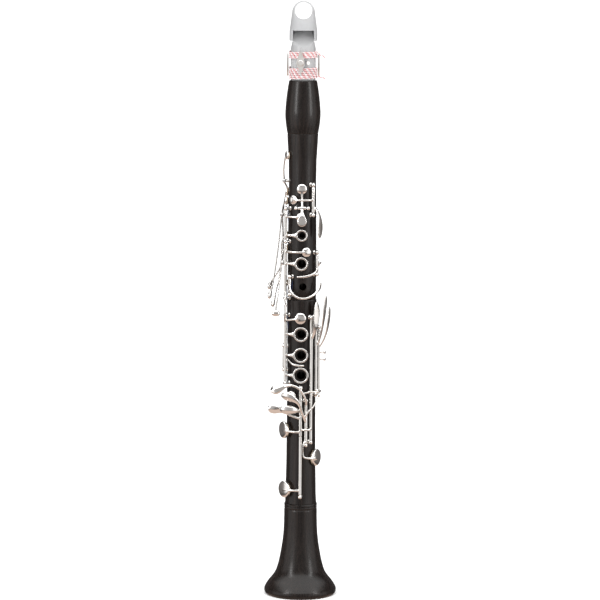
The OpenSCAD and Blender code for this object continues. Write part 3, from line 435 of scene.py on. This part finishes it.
def studio():
    """The light all round: two tall bright panels beside the camera with a dimmer gap
    between them, a dark far side, a white ceiling and a warm glow from below."""
    world = bpy.data.worlds.new("studio")
    world.use_nodes = True
    t = world.node_tree
    back = t.nodes["Background"]

    def add(kind, **inputs):
        n = t.nodes.new(kind)
        for k, v in inputs.items():
            if isinstance(v, bpy.types.NodeSocket):
                t.links.new(v, n.inputs[k.replace("_", " ")])
            else:
                n.inputs[k.replace("_", " ")].default_value = v
        return n

    def maths(kind, a, b=0.0, c=0.0):
        n = t.nodes.new("ShaderNodeMath")
        n.operation = kind
        for socket, v in zip(n.inputs, (a, b, c)):
            if isinstance(v, bpy.types.NodeSocket):
                t.links.new(v, socket)
            else:
                socket.default_value = v
        return n.outputs[0]

    def ramp(fac, *stops):
        n = t.nodes.new("ShaderNodeValToRGB")
        e = n.color_ramp.elements
        while len(e) < len(stops):
            e.new(0.5)
        for spot, (at, colour) in zip(e, stops):
            spot.position, spot.color = at, (*colour, 1.0)
        t.links.new(fac, n.inputs["Fac"])
        return n.outputs["Color"]

    way = add("ShaderNodeSeparateXYZ", Vector=add("ShaderNodeTexCoord").outputs["Generated"])
    x, y, z = way.outputs
    level = maths("SQRT", maths("ADD", maths("MULTIPLY", x, x), maths("MULTIPLY", y, y)))
    front = maths("DIVIDE", maths("MULTIPLY", y, -1.0), maths("MAXIMUM", level, 0.001))
    side = maths("MULTIPLY_ADD", front, 0.5, 0.5)          # 1 behind the camera, 0 behind the object
    walls = ramp(side, (0.0, (0.10, 0.09, 0.09)), (0.30, (0.12, 0.11, 0.105)),
                 (0.42, (0.20, 0.185, 0.18)), (0.50, (0.80, 0.78, 0.77)),
                 (0.88, (0.90, 0.88, 0.87)), (0.955, (0.42, 0.405, 0.40)),
                 (1.0, (0.30, 0.29, 0.285)))
    height = maths("MULTIPLY_ADD", z, 0.5, 0.5)            # 0 straight down, 1 straight up
    warm, dim, white = (0.52, 0.40, 0.34), (0.05, 0.045, 0.045), (1.0, 1.0, 1.0)
    ends = ramp(height, (0.0, warm), (0.24, warm), (0.31, dim), (0.74, dim),
                (0.80, white), (1.0, white))
    mask = ramp(height, (0.32, (0, 0, 0)), (0.37, (1, 1, 1)), (0.64, (1, 1, 1)),
                (0.68, (0, 0, 0)))
    mix = t.nodes.new("ShaderNodeMix")
    mix.data_type = "RGBA"
    t.links.new(mask, mix.inputs["Factor"])
    t.links.new(ends, mix.inputs["A"])
    t.links.new(walls, mix.inputs["B"])
    t.links.new(mix.outputs["Result"], back.inputs["Color"])
    back.inputs["Strength"].default_value = 1.35
    pale = t.nodes.new("ShaderNodeBackground")
    pale.inputs["Color"].default_value = (0.95, 0.95, 0.95, 1.0)
    seen = t.nodes.new("ShaderNodeMixShader")
    t.links.new(t.nodes.new("ShaderNodeLightPath").outputs["Is Camera Ray"], seen.inputs["Fac"])
    t.links.new(back.outputs[0], seen.inputs[1])
    t.links.new(pale.outputs[0], seen.inputs[2])
    t.links.new(seen.outputs[0], t.nodes["World Output"].inputs["Surface"])
    bpy.context.scene.world = world


studio()
bpy.context.scene.view_settings.view_transform = "Standard"
overhead = bpy.data.lights.new("overhead", "SUN")
overhead.angle = math.radians(100)
overhead.energy = 1.9
overhead_at = bpy.data.objects.new("overhead", overhead)
overhead_at.rotation_euler = (math.radians(12), 0, 0)
bpy.context.scene.collection.objects.link(overhead_at)


def softbox(name, place, aim, width, height, power):
    light = bpy.data.lights.new(name, "AREA")
    light.shape = "RECTANGLE"
    light.size, light.size_y, light.energy = width, height, power
    ob = bpy.data.objects.new(name, light)
    ob.location = place
    ob.rotation_euler = (Vector(aim) - Vector(place)).to_track_quat("-Z", "Y").to_euler()
    bpy.context.scene.collection.objects.link(ob)


softbox("left_softbox", (-1.3, -1.2, 0.9), (0, 0, 0.3), 0.3, 1.0, 9)
softbox("right_softbox", (1.4, -1.0, 0.8), (0, 0, 0.3), 0.3, 1.0, 7)

# The camera stands level with the lower joint's upper end, a little above, and leans a touch
CAMERA_AIM = Vector((-0.0018, 0.0, 0.300))
CAMERA_FAR, CAMERA_UP, CAMERA_ROLL = 2.70, math.radians(6.8), math.radians(0.35)
camera = bpy.data.objects.new("camera", bpy.data.cameras.new("camera"))
camera.data.sensor_width = 36
camera.data.lens = 161
toward = Vector((0, -math.cos(CAMERA_UP), math.sin(CAMERA_UP)))
camera.location = CAMERA_AIM + toward * CAMERA_FAR
turn = toward.to_track_quat("Z", "Y").to_matrix().to_4x4()
camera.rotation_euler = (turn @ Matrix.Rotation(CAMERA_ROLL, 4, "Z")).to_euler()
bpy.context.scene.collection.objects.link(camera)
bpy.context.scene.camera = camera
